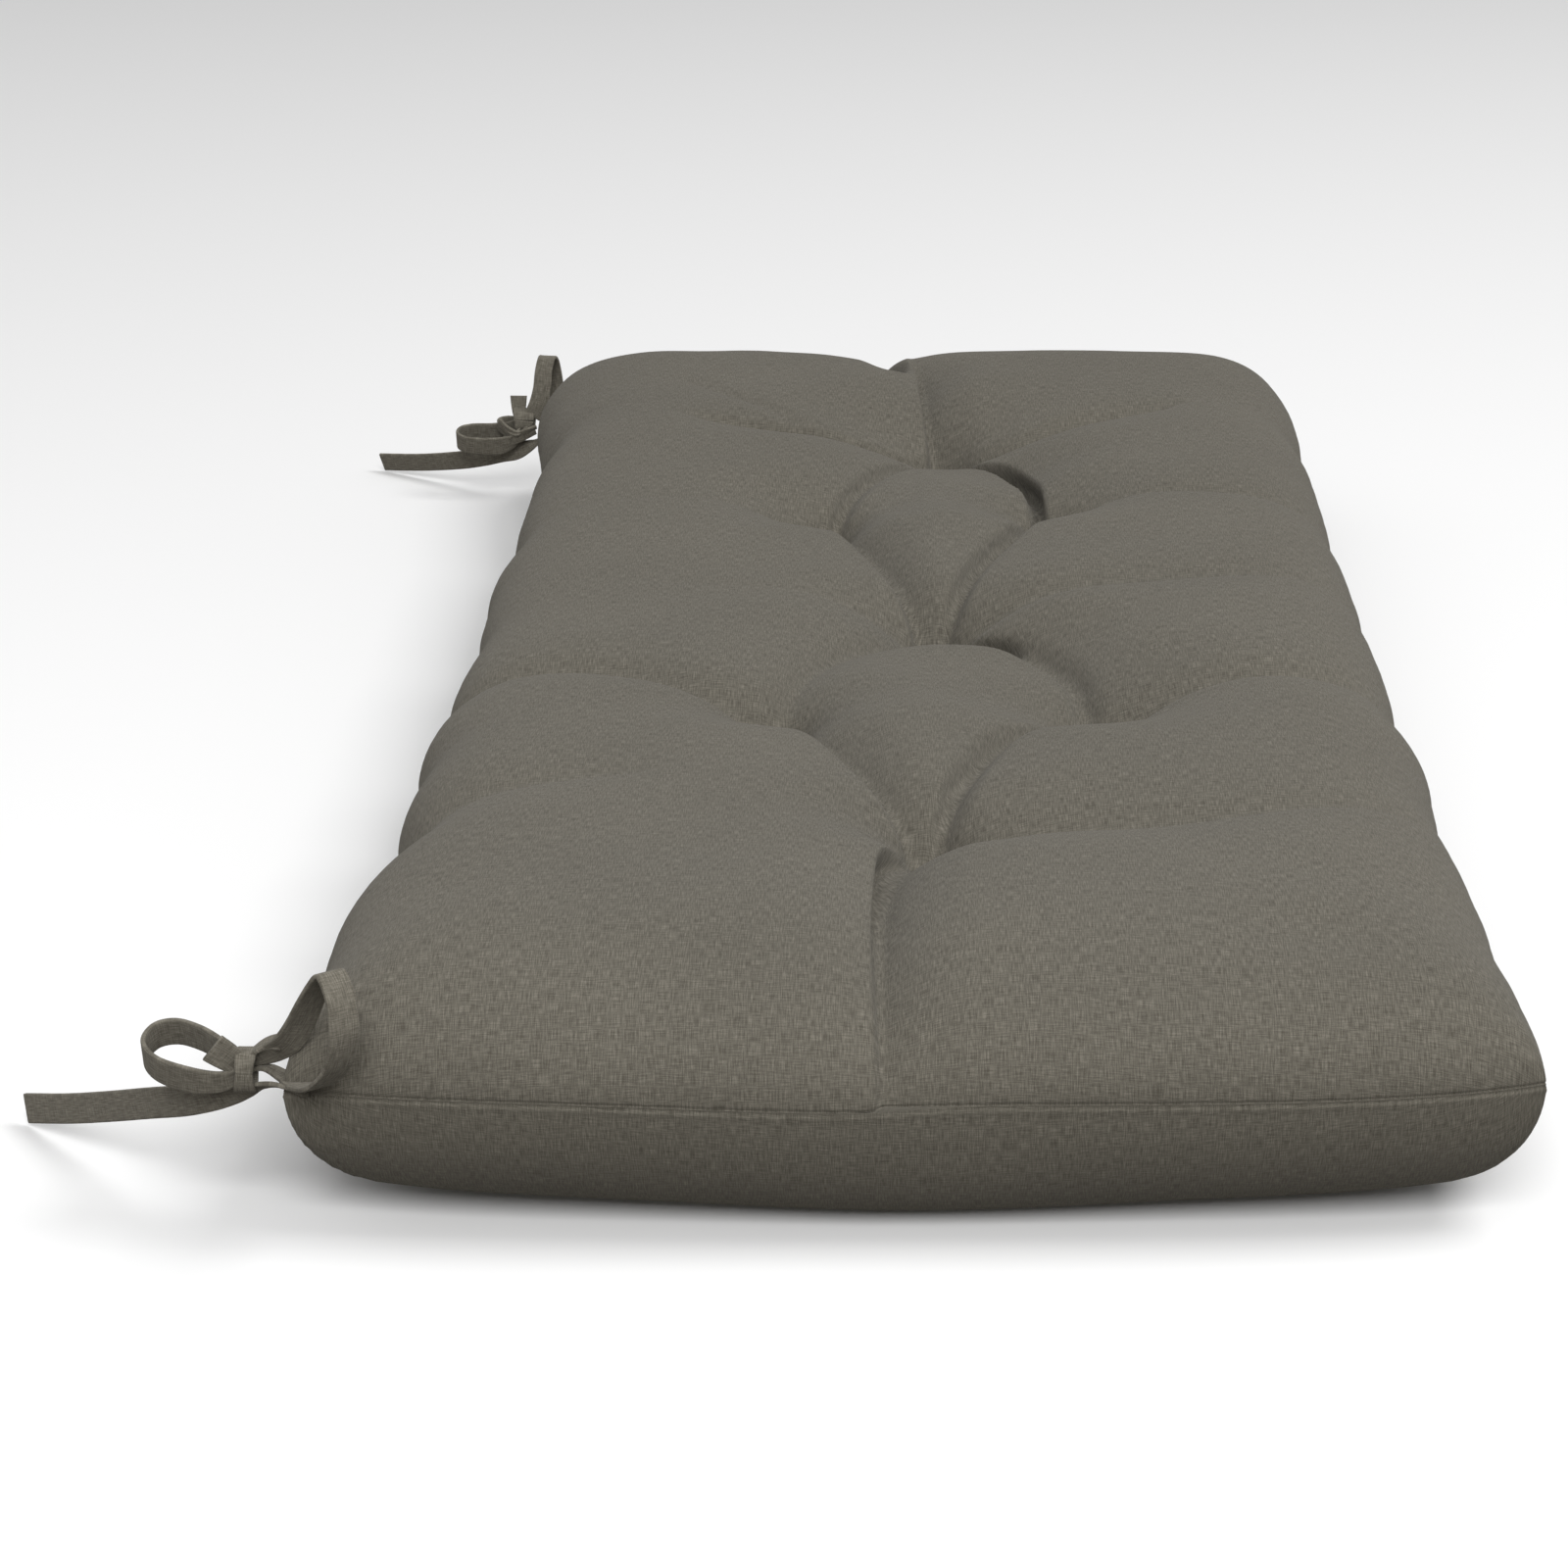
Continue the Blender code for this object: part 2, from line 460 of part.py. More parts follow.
def corner_tie(side, ring, extras, tail, lump, cutter, cloth):
    """One corner's two tapes: the knotted ring with its bow, and the tape with the long tail."""
    tail_tape = tape(f"tie_{side}_tail", tail)
    ring_tape = tape(f"tie_{side}_ring", ring)
    combine(ring_tape, knot_lump(f"{side} knot guide", lump), "UNION")
    for number, stops in enumerate(extras):
        combine(ring_tape, tape(f"{side} bow guide {number}", stops), "UNION")
    combine(ring_tape, tape(f"{side} tail clearance", tail, grow=TAPE_CLEARANCE), "DIFFERENCE")
    for piece in (ring_tape, tail_tape):
        combine(piece, cutter, "DIFFERENCE")
        piece.data.materials.append(cloth)


def cushion(cloth):
    body = cushion_mesh("cushion", 0.0)
    body.data.shade_smooth()
    body.data.set_sharp_from_angle(angle=radians(50))
    body.data.materials.append(cloth)


def main():
    clear_scene()
    cloth = fabric("taupe_weave", (0.157, 0.147, 0.125), 0.92)
    tape_cloth = fabric("taupe_tape", (0.140, 0.132, 0.112), 0.92)
    cushion(cloth)
    cutter = cushion_mesh("cushion clearance", GAP)
    corner_tie("near", NEAR_RING, (NEAR_LOOP, NEAR_END), NEAR_TAIL, NEAR_KNOT, cutter, tape_cloth)
    corner_tie("far", FAR_RING, (FAR_LOOP, FAR_END, FAR_FOLD), FAR_TAIL, FAR_KNOT, cutter, tape_cloth)


main()
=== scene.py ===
import math

import bpy
import numpy as np
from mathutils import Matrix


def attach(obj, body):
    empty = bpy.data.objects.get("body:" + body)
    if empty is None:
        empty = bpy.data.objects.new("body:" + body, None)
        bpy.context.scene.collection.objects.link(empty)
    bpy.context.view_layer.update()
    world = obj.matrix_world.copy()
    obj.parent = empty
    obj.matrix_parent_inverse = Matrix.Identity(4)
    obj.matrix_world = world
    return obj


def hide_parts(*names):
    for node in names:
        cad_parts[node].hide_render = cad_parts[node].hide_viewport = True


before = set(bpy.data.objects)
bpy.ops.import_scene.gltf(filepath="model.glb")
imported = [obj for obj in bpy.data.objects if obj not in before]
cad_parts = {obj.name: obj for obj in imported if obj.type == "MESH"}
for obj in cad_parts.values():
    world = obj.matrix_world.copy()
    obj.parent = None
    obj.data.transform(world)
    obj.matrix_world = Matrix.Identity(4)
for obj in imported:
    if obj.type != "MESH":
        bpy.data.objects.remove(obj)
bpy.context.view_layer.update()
scene = bpy.context.scene
mm = 0.001

# the camera stands low past the near end of the cushion and looks along its length
camera = dict(place=(0.0075, -1.932, 0.6046), tiltDeg=72.4, lens=94.5, sensor=36.0,
              vanishPixel=953, middlePixel=800, frameWidth=1600)


def makeCamera():
    data = bpy.data.cameras.new("camera")
    data.sensor_width = camera["sensor"]
    data.lens = camera["lens"]
    data.shift_x = (camera["middlePixel"] - camera["vanishPixel"]) / camera["frameWidth"]
    data.clip_start = 0.01
    eye = bpy.data.objects.new("camera", data)
    eye.location = camera["place"]
    eye.rotation_euler = (math.radians(camera["tiltDeg"]), 0, 0)
    scene.collection.objects.link(eye)
    scene.camera = eye


makeCamera()
print("camera set")

# The cushion's form, in metres. Across (x) and along (y) are also u and v, which run from -1 to 1.
form = dict(
    length=1.143, width=0.457, crown=0.106, seamHeight=0.055,
    nearLift=0.002, frontLift=0.003,                  # the seam rises at the near end and front corners
    dip=0.003, dipAt=-0.11, dipReach=(0.32, 0.13),    # and dips at the near fold, wider towards the back
    sideRoll=0.095, endRoll=0.105, rollFullness=2.5,
    topCorner=1.5,                                    # 1 gives a pointed corner, more a fuller one
    underSide=0.070, underEnd=0.075, underMiddle=0.052, underMiddleReach=0.4,
    underFullness=2.6, underCorner=0.013, underCornerRound=4.0,
    corners=(0.004, 0.003, 0.007, 0.026),       # rounded in: near back, near front, far back, far front
    backBow=0.013, frontBow=0.009, nearSwell=0.010, farDraw=0.004, notchSharpness=1.6,
    # along, depth, reach of each dip where a crease meets the side
    backNotches=((0.500, -0.008, 0.10), (0.355, 0.006, 0.05), (0.150, 0.005, 0.05), (0.090, -0.003, 0.05),
                 (-0.035, 0.004, 0.05), (-0.150, 0.003, 0.03), (-0.200, -0.003, 0.05),
                 (-0.240, 0.003, 0.03), (-0.350, 0.012, 0.05), (-0.430, -0.004, 0.07)),
    frontNotches=((0.376, 0.004, 0.05), (0.165, 0.003, 0.05), (0.0, 0.002, 0.04), (-0.165, 0.004, 0.05),
                  (-0.225, -0.003, 0.05), (-0.320, 0.003, 0.05), (-0.470, 0.002, 0.04)),
    # across, along, height, reach across, reach along of each swell or dip of the filling
    swells=((-0.080, -0.030, -0.009, 0.200, 0.300), (0.150, -0.520, -0.003, 0.030, 0.020),
            (-0.040, 0.530, -0.003, 0.040, 0.045), (0.004, 0.240, -0.009, 0.050, 0.070),
            (0.028, -0.105, -0.014, 0.056, 0.070), (0.050, -0.375, -0.005, 0.060, 0.050),
            (0.045, 0.265, -0.008, 0.040, 0.050)),
)
halfWidth = form["width"] / 2
halfLength = form["length"] / 2

# the stitched tufts: across, along, depth and reach of the pit that each draws
tufts = dict(
    far=(0.010, 0.335, 0.034, 0.115), farBack=(-0.050, 0.165, 0.026, 0.085),
    farFront=(0.064, 0.172, 0.026, 0.085), middle=(0.006, -0.022, 0.028, 0.085),
    nearBack=(-0.062, -0.195, 0.022, 0.085), nearFront=(0.078, -0.185, 0.031, 0.105),
    near=(0.004, -0.362, 0.024, 0.080),
)
stitch = dict(depth=0.006, reach=0.007, fullness=1.3)

# Folds. Each begins at a tuft or another named start and runs through its points, and its depth is given
# at its start, middle and end.
# Crisp: the share of the depth that is the narrow crease and not the broad valley. Reach: of the crease
# on the left and on the right of travel, and of the valley. Lean: how far the bottom lies under the cloth
# on the left.
folds = (
    # start, points,
    # depths, crisp, left reach, right reach, valley reach, lean
    ("far", ((-0.022, 0.255), "farBack"),
     (0.016, 0.013, 0.024), 0.45, 0.012, 0.006, 0.055, 0.0),
    ("far", ((0.050, 0.270), "farFront"),
     (0.028, 0.029, 0.026), 0.62, 0.006, 0.005, 0.055, 0.006),
    ("farBack", ((-0.030, 0.100), (-0.012, 0.035), "middle"),
     (0.024, 0.018, 0.023), 0.45, 0.028, 0.007, 0.060, 0.0),
    ("farFront", ((0.036, 0.080), (0.020, 0.020), "middle"),
     (0.024, 0.018, 0.023), 0.45, 0.011, 0.007, 0.060, 0.0),
    ("middle", ((-0.032, -0.085), (-0.052, -0.140), "nearBack"),
     (0.023, 0.014, 0.022), 0.25, 0.028, 0.014, 0.065, 0.0),
    ("middle", ((0.045, -0.060), (0.068, -0.115), "nearFront"),
     (0.026, 0.018, 0.026), 0.24, 0.012, 0.008, 0.060, 0.0),
    ("middle", ((0.030, -0.043), (0.048, -0.066)),
     (0.020, 0.026, 0.006), 0.70, 0.007, 0.005, 0.050, 0.007),
    ("nearBack", ((-0.040, -0.245), (-0.019, -0.305), "near"),
     (0.023, 0.018, 0.022), 0.45, 0.030, 0.007, 0.065, 0.0),
    ("nearFront", ((0.040, -0.240), (0.020, -0.300), "near"),
     (0.025, 0.018, 0.023), 0.42, 0.014, 0.008, 0.065, 0.0),
    ("far", ((0.005, 0.400), (0.002, 0.460), (-0.006, 0.520)),
     (0.024, 0.016, 0.003), 0.60, 0.006, 0.028, 0.040, 0.004),
    ("notch", ((-0.022, 0.508), (-0.032, 0.545), (-0.042, 0.585)),
     (0.001, 0.028, 0.016), 0.72, 0.018, 0.017, 0.042, 0.0),
    ("near", ((-0.006, -0.420), (-0.012, -0.480), (-0.014, -0.585)),
     (0.022, 0.010, 0.004), 0.25, 0.030, 0.014, 0.050, 0.0),
    ("crease", ((-0.0090, -0.415), (-0.0108, -0.500), (-0.0098, -0.590)),
     (0.008, 0.018, 0.016), 0.75, 0.034, 0.005, 0.060, -0.005),
    ("far", ((-0.052, 0.324), (-0.135, 0.342)),
     (0.028, 0.018, 0.001), 0.45, 0.012, 0.010, 0.050, 0.0),
    ("streak", ((-0.095, 0.370), (-0.140, 0.425)),
     (0.001, 0.004, 0.001), 0.50, 0.010, 0.010, 0.030, 0.0),
    ("far", ((0.062, 0.326), (0.155, 0.372)),
     (0.030, 0.016, 0.001), 0.34, 0.018, 0.012, 0.050, 0.0),
    ("farBack", ((-0.120, 0.158), (-0.220, 0.148)),
     (0.026, 0.001, 0.000), 0.20, 0.012, 0.012, 0.050, 0.0),
    ("farFront", ((0.120, 0.170), (0.220, 0.165)),
     (0.026, 0.006, 0.002), 0.25, 0.016, 0.012, 0.050, 0.0),
    ("middle", ((-0.080, -0.010), (-0.180, 0.000)),
     (0.018, 0.001, 0.000), 0.15, 0.012, 0.012, 0.055, 0.0),
    ("middle", ((0.090, -0.012), (0.210, 0.005)),
     (0.026, 0.006, 0.000), 0.25, 0.018, 0.012, 0.050, 0.0),
    ("nearBack", ((-0.100, -0.170), (-0.150, -0.146), (-0.222, -0.146)),
     (0.024, 0.012, 0.007), 0.30, 0.012, 0.018, 0.050, 0.0),
    ("nearFront", ((0.130, -0.170), (0.220, -0.165)),
     (0.030, 0.012, 0.000), 0.35, 0.022, 0.014, 0.055, 0.0),
    ("side", ((-0.180, -0.335), (-0.222, -0.350)),
     (0.000, 0.007, 0.005), 0.10, 0.014, 0.018, 0.050, 0.0),
    ("near", ((0.060, -0.370), (0.110, -0.374), (0.220, -0.354)),
     (0.024, 0.012, 0.000), 0.22, 0.020, 0.014, 0.070, 0.0),
)
# where the folds begin that don't begin at a tuft, and then the tufts
starts = dict(crease=(-0.001, -0.380), notch=(-0.010, 0.455), streak=(-0.060, 0.325),
              side=(-0.100, -0.325))
starts.update({name: tuft[:2] for name, tuft in tufts.items()})
# floor rounds a crease's bottom, sideBlend softens the change from its left reach to its right;
# steepness and valley are the powers of its walls, join that of the mean
crease = dict(floor=0.9 * mm, sideBlend=1.5 * mm, steepness=1.6, valley=2.0, join=2.6, steps=10)


def softNoise(x, y, cell, seed):
    # seeded random heights on a square lattice, blended between its points by 6t^5 - 15t^4 + 10t^3
    size = 64
    table = np.random.default_rng(seed).uniform(-1, 1, (size, size))
    gx, gy = x / cell, y / cell
    ix, iy = np.floor(gx).astype(int), np.floor(gy).astype(int)
    fx, fy = gx - ix, gy - iy
    sx, sy = (t * t * t * (t * (t * 6 - 15) + 10) for t in (fx, fy))
    a, b = table[ix % size, iy % size], table[(ix + 1) % size, iy % size]
    c, d = table[ix % size, (iy + 1) % size], table[(ix + 1) % size, (iy + 1) % size]
    return (a * (1 - sx) + b * sx) * (1 - sy) + (c * (1 - sx) + d * sx) * sy


def sideDraw(y, bow, notches):
    # a long bow, bow * (1 - |y / halfLength|^3), and a bell-shaped dip at each notch
    drawn = bow * (1 - np.clip(np.abs(y / halfLength), 0, 1) ** 3)
    for along, depth, reach in notches:
        drawn = drawn + depth * np.exp(-((y - along) * form["notchSharpness"] / reach) ** 2)
    return drawn


def planAt(u, v):
    # the rectangle (halfWidth u, halfLength v), with its corners pulled in by |u|^3 |v|^16 across and
    # |v|^6 |u|^6.5 along, its sides drawn in by |u|^4 and its ends moved by (1 - |u|^3) |v|^5
    nearBack, nearFront, farBack, farFront = form["corners"]
    back, front, near, far = (1 - u) / 2, (1 + u) / 2, (1 - v) / 2, (1 + v) / 2
    pull = (back * near * nearBack + front * near * nearFront
            + back * far * farBack + front * far * farFront)
    x = halfWidth * u - np.sign(u) * pull * np.abs(u) ** 3 * np.abs(v) ** 16
    y = halfLength * v - np.sign(v) * pull * np.abs(v) ** 6 * np.abs(u) ** 6.5
    drawn = np.where(u < 0, sideDraw(y, form["backBow"], form["backNotches"]),
                     sideDraw(y, form["frontBow"], form["frontNotches"]))
    x = x - np.sign(u) * drawn * np.abs(u) ** 4
    ends = np.where(v < 0, form["nearSwell"], -form["farDraw"])
    return x, y - ends * (1 - np.abs(u) ** 3) * np.abs(v) ** 5


def seamAt(u, v):
    # the seam's height: level, with a lift at the near end and at the front corners, less the fold's dip
    beside = (u - form["dipAt"]) / np.where(u < form["dipAt"], *form["dipReach"])
    dip = form["dip"] * np.exp(-beside ** 2) * np.clip(-v, 0, 1) ** 8
    frontLift = form["frontLift"] * np.clip(u, 0, 1) ** 6 * np.abs(v) ** 12
    nearLift = form["nearLift"] * np.clip(-v, 0, 1) ** 10
    return form["seamHeight"] + frontLift + nearLift - dip


def smoothRows(rows, shares):
    # a Catmull-Rom curve through the rows, read at shares of their count
    padded = np.vstack([2 * rows[0] - rows[1], rows, 2 * rows[-1] - rows[-2]])
    index = np.clip(shares.astype(int), 0, len(rows) - 2)
    t = (shares - index)[:, None]
    p0, p1, p2, p3 = (padded[index + step] for step in range(4))
    return 0.5 * (2 * p1 + (p2 - p0) * t + (2 * p0 - 5 * p1 + 4 * p2 - p3) * t ** 2
                  + (3 * p1 - 3 * p2 + p3 - p0) * t ** 3)


def foldPath(start, points):
    # a smooth line from the start through the points, a name standing for its place
    rows = np.array([starts[point] if isinstance(point, str) else point for point in (start, *points)])
    return smoothRows(rows, np.linspace(0, len(rows) - 1, (len(rows) - 1) * crease["steps"] + 1))


def nearestOnPath(x, y, path):
    # distance to the nearest stretch of the path, the share of the path walked there, how much it is on
    # the left (1/2 + tanh(distance left / sideBlend) / 2), and the way to the left of travel
    nearest, share, left = np.full(x.shape, np.inf), np.zeros_like(x), np.zeros_like(x)
    toLeft = np.zeros(x.shape + (2,))
    steps = len(path) - 1
    for index in range(steps):
        (ax, ay), (bx, by) = path[index], path[index + 1]
        dx, dy = bx - ax, by - ay
        run = np.hypot(dx, dy)
        t = np.clip(((x - ax) * dx + (y - ay) * dy) / run ** 2, 0, 1)
        distance = np.hypot(x - ax - t * dx, y - ay - t * dy)
        turn = (dx * (y - ay) - dy * (x - ax)) / run
        closer = distance < nearest
        nearest = np.where(closer, distance, nearest)
        share = np.where(closer, (index + t) / steps, share)
        left = np.where(closer, 0.5 + 0.5 * np.tanh(turn / crease["sideBlend"]), left)
        toLeft[closer] = (-dy / run, dx / run)
    return nearest, share, left, toLeft


def threePoint(t, start, middle, end):
    # the parabola-like blend that is start at 0, middle at 1/2 and end at 1
    ends = np.where(t < 0.5, start, end)
    return middle + (ends - middle) * (2 * t - 1) ** 2


def domed(distance, reach, steepness):
    # (1 - distance / reach)^steepness: steepest at the fold's bottom, so the cloth beside it stays domed
    return np.clip(1 - distance / reach, 0, 1) ** steepness


def foldsAt(x, y):
    # narrow creases and broad valleys, each kind joined by a power mean so that the deepest wins,
    # and how far the leaning ones lie to the side
    power = crease["join"]
    narrow, broad, lean = np.zeros_like(x), np.zeros_like(x), np.zeros(x.shape + (2,))
    for start, points, depths, crisp, leftReach, rightReach, valleyReach, leanBy in folds:
        distance, t, left, toLeft = nearestOnPath(x, y, foldPath(start, points))
        rounded = np.sqrt(distance ** 2 + crease["floor"] ** 2)
        depth = threePoint(t, *depths)
        edge = domed(rounded, rightReach + (leftReach - rightReach) * left, crease["steepness"])
        narrow += (depth * crisp * edge) ** power
        broad += (depth * (1 - crisp) * domed(distance, valleyReach, crease["valley"])) ** power
        lean += toLeft * (leanBy * 4 * t * (1 - t) * edge)[..., None]
    for across, along, depth, reach in tufts.values():
        distance = np.hypot(x - across, y - along)
        broad += (depth * domed(distance, reach, crease["valley"])) ** power
        narrow += (stitch["depth"] * np.exp(-(distance / stitch["reach"]) ** stitch["fullness"])) ** power
    return narrow ** (1 / power), broad ** (1 / power), lean


def roundBoth(side, end, sharpness):
    # 1 at either edge and 0 inside: with odds(s) = s / (1 - s), the joined odds are
    # (odds(side)^k + odds(end)^k)^(1/k), turned back to a share
    tiny = 1e-9
    odds = [share / np.maximum(1 - share, tiny) for share in (side, end)]
    joined = (odds[0] ** sharpness + odds[1] ** sharpness) ** (1 / sharpness)
    return joined / (1 + joined)


def towardsEdge(share, half, roll, fullness):
    # 0 inside the roll and 1 at the edge, (1 - distance from the edge / roll)^fullness between them
    return np.clip(1 - half * (1 - np.abs(share)) / roll, 0, 1) ** fullness


def topAt(u, v):
    # height = seam + (crown - seam) * rise, where rise is a full round from the seam inwards
    x, y = planAt(u, v)
    fromSide = towardsEdge(u, halfWidth, form["sideRoll"], form["rollFullness"])
    fromEnd = towardsEdge(v, halfLength, form["endRoll"], form["rollFullness"])
    rise = np.sqrt(np.clip(1 - roundBoth(fromSide, fromEnd, form["topCorner"]), 0, 1))
    crown = form["crown"]
    for across, along, height, acrossReach, alongReach in form["swells"]:
        away = ((x - across) / acrossReach) ** 2 + ((y - along) / alongReach) ** 2
        crown = crown + height * np.exp(-away)
    seam = seamAt(u, v)
    return np.stack([x, y, seam + (crown - seam) * rise], axis=-1), rise


def underAt(u, v):
    # height = seam * (1 - fall), where fall is a quarter round from the seam down to the flat underside
    middle = np.exp(-(u / form["underMiddleReach"]) ** 2) * (v < 0)
    endRoll = form["underEnd"] + (form["underMiddle"] - form["underEnd"]) * middle
    fromSide = towardsEdge(u, halfWidth, form["underSide"], form["underFullness"])
    fromEnd = towardsEdge(v, halfLength, endRoll, form["underFullness"])
    edge = np.clip(roundBoth(fromSide, fromEnd, form["underCornerRound"]), 0, 1)
    inset = 1 - np.sqrt(edge)
    x, y = planAt(u, v)
    rim = np.abs(u / (1 - inset * form["underSide"] / halfWidth) * v / (1 - inset * endRoll / halfLength))
    corner = form["underCorner"] * inset * np.clip(rim, 0, 1) ** 5
    x = x - np.sign(u) * corner * np.abs(v) ** 12
    y = y - np.sign(v) * corner
    return np.stack([x, y, seamAt(u, v) * (1 - np.sqrt(1 - edge))], axis=-1)


def gridNormals(points):
    # the cross product of the two ways along the grid
    normal = np.cross(np.gradient(points, axis=0), np.gradient(points, axis=1))
    return normal / np.maximum(np.linalg.norm(normal, axis=-1, keepdims=True), 1e-12)


def walkedAlong(points, axis):
    # the distance walked along each line of the grid, from its first point
    steps = np.linalg.norm(np.diff(points, axis=axis), axis=-1)
    first = np.zeros_like(np.take(steps, [0], axis=axis))
    return np.concatenate([first, np.cumsum(steps, axis=axis)], axis=axis)


def clothMetres(points):
    # how far each grid point is from the middle lines, measured along the cloth
    across, along = walkedAlong(points, 0), walkedAlong(points, 1)
    middleColumn, middleRow = across.shape[0] // 2, along.shape[1] // 2
    return np.stack([across - across[[middleColumn]], along - along[:, [middleRow]]], axis=-1)


def seamWalk(points):
    # distance along the cloth from the seam: the shortest of the walks in from the sides and the ends
    across, along = walkedAlong(points, 0), walkedAlong(points, 1)
    fromSides = np.minimum(across, across[[-1]] - across)
    return np.minimum(fromSides, np.minimum(along, along[:, [-1]] - along))


def gridFaces(columns, rows, start=0, flip=False):
    # four corners for each cell of a grid of columns x rows points
    index = start + np.arange(columns * rows).reshape(columns, rows)
    faces = np.stack([index[:-1, :-1], index[1:, :-1], index[1:, 1:], index[:-1, 1:]], axis=-1)
    faces = faces.reshape(-1, 4)
    return (faces[:, ::-1] if flip else faces).tolist()


def rimLoop(grid):
    # the grid's border, once round
    return np.concatenate([grid[:-1, 0], grid[-1, :-1], grid[:0:-1, -1], grid[0, :0:-1]])


def newMesh(name, points, faces, uv, material):
    # a smooth piece at the origin, with its cloth metres as its UV map
    mesh = bpy.data.meshes.new(name)
    mesh.from_pydata(points.tolist(), [], faces)
    layer = mesh.uv_layers.new(name="cloth")
    loops = np.zeros(len(mesh.loops), int)
    mesh.loops.foreach_get("vertex_index", loops)
    layer.data.foreach_set("uv", uv[loops].astype(np.float32).ravel())
    mesh.polygons.foreach_set("use_smooth", np.ones(len(mesh.polygons), bool))
    mesh.update()
    piece = bpy.data.objects.new(name, mesh)
    scene.collection.objects.link(piece)
    mesh.materials.append(material)
    return piece


class Wire:
    # one output socket: arithmetic on it adds Math nodes
    def __init__(self, nodes, socket):
        self.nodes = nodes
        self.socket = socket

    def math(self, operation, *others):
        return self.nodes.node("Math", dict(operation=operation), (self, *others))[0]

    def __add__(self, other):
        return self.math("ADD", other)

    def __mul__(self, other):
        return self.math("MULTIPLY", other)

    def __sub__(self, other):
        return self.math("SUBTRACT", other)

    def __rsub__(self, other):
        return self.nodes.node("Math", dict(operation="SUBTRACT"), (other, self))[0]

    __radd__ = __add__
    __rmul__ = __mul__


class Nodes:
    # the nodes of a material or a world, and the one method that adds them
    def __init__(self, owner):
        owner.use_nodes = True
        self.owner = owner
        self.tree = owner.node_tree
        self.tree.nodes.clear()

    def node(self, kind, settings=None, sockets=()):
        # settings come first, a ramp's stops among them; sockets are in order, or keyed by name or number
        made = self.tree.nodes.new("ShaderNode" + kind)
        for key, value in (settings or {}).items():
            if key == "stops":
                self.setStops(made.color_ramp.elements, value)
            else:
                setattr(made, key, value)
        for key, value in sockets.items() if isinstance(sockets, dict) else enumerate(sockets):
            if isinstance(value, Wire):
                self.tree.links.new(value.socket, made.inputs[key])
            else:
                made.inputs[key].default_value = value
        return [Wire(self, output) for output in made.outputs]

    def setStops(self, elements, stops):
        for index, (place, colour) in enumerate(stops):
            stop = elements[index] if index < 2 else elements.new(place)
            stop.position = place
            stop.color = colour


weave = dict(
    threadPitch=0.9 * mm,                       # one over and one under
    overSharpness=3.0,
    # size across and along, start, detail and roughness of each noise
    warpSlub=(0.42 * mm, 5.5 * mm, 3.1, 1.0, 0.4), weftSlub=(5.5 * mm, 0.42 * mm, 7.7, 1.0, 0.4),
    speckle=(0.5 * mm, 0.5 * mm, 2.3, 2.0, 0.7), fibre=(0.35 * mm, 0.35 * mm, 1.3, 3.0, 0.7),
    patch=(90 * mm, 90 * mm, 5.5, 2.0, 0.5),
    heatherShares=(0.46, 0.34, 0.20),           # of the warp slubs, the weft slubs and the speckle
    yarns=((0.34, (0.078, 0.070, 0.055, 1)), (0.46, (0.110, 0.101, 0.082, 1)),
           (0.56, (0.140, 0.129, 0.105, 1)), (0.70, (0.196, 0.180, 0.149, 1))),
    # the patch and fibre swings are random tone; the thread swing is painted shade, darker where each
    # thread rounds down between threads
    patchSwing=0.16, fibreSwing=0.10, threadShadeSwing=0.24,
    threadHeight=0.12 * mm, fibreHeight=0.06 * mm, slubHeight=0.10 * mm, weftHeightShare=0.7, bump=0.7,
    roughness=0.93, sheen=0.10, sheenRoughness=0.5, sheenTint=(0.80, 0.78, 0.72, 1), specular=0.2,
)


